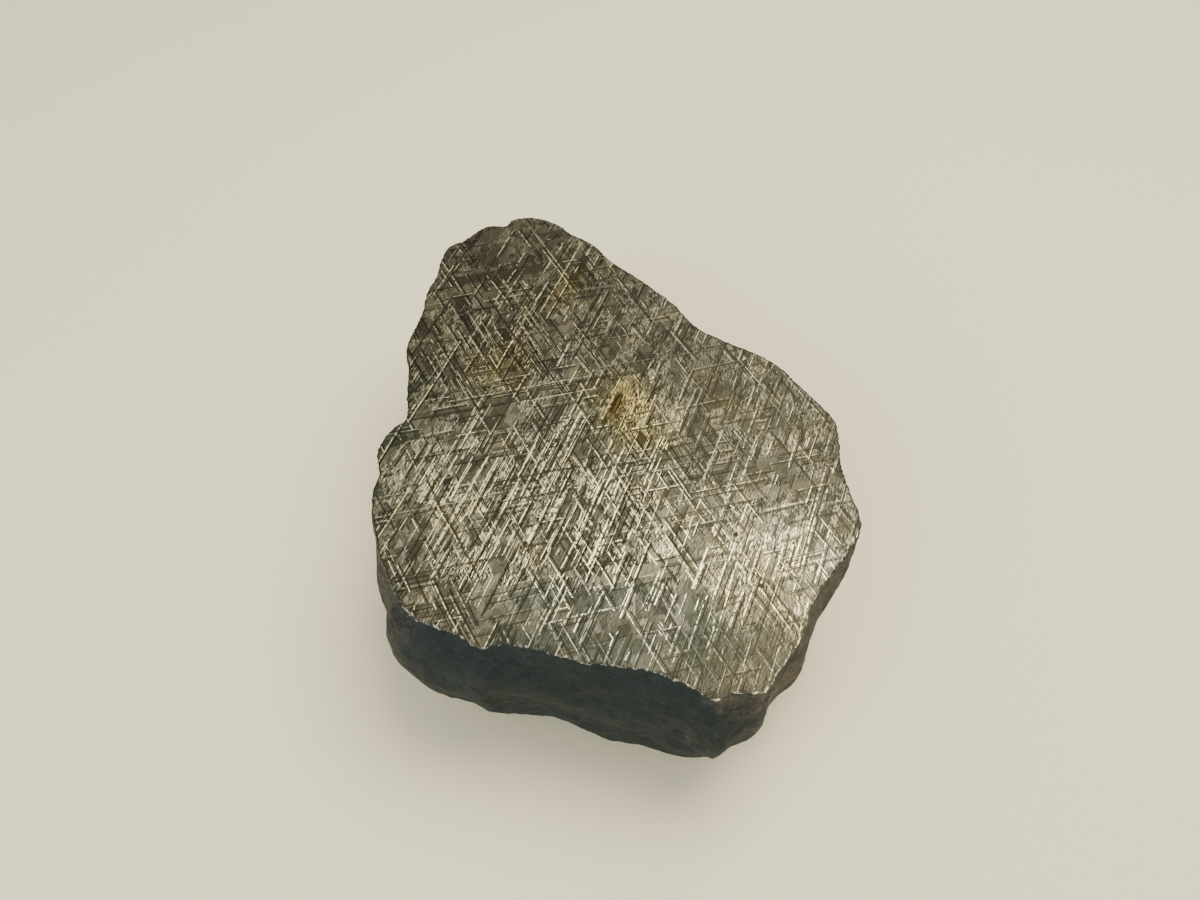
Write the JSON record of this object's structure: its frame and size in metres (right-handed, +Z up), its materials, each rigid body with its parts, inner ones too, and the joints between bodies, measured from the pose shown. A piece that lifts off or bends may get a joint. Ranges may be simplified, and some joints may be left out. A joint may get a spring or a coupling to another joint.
{
  "type": "etched iron meteorite slice",
  "caption": "Lump of nickel iron with one flat sawn face, polished and etched to show crossing crystal bars, and dark natural crust all round and underneath.",
  "frame": {"origin": "middle of the base of the object's bounding box, on the surface that it rests on", "axes": "+Z up, +Y to the back along the long way of the etched face, +X to the right; the face looks up and leans 2.8 degrees to -Y"},
  "size_m": [0.1704, 0.224, 0.0792],
  "materials": {
    "etched_iron": "nickel iron, sawn, polished and acid etched on one face, with bright and dark crossing bars and rust stains; all other sides are dark, satin, weathered crust"
  },
  "bodies": {
    "root": {"meteorite_slice": "etched_iron"}
  },
  "joints": []
}
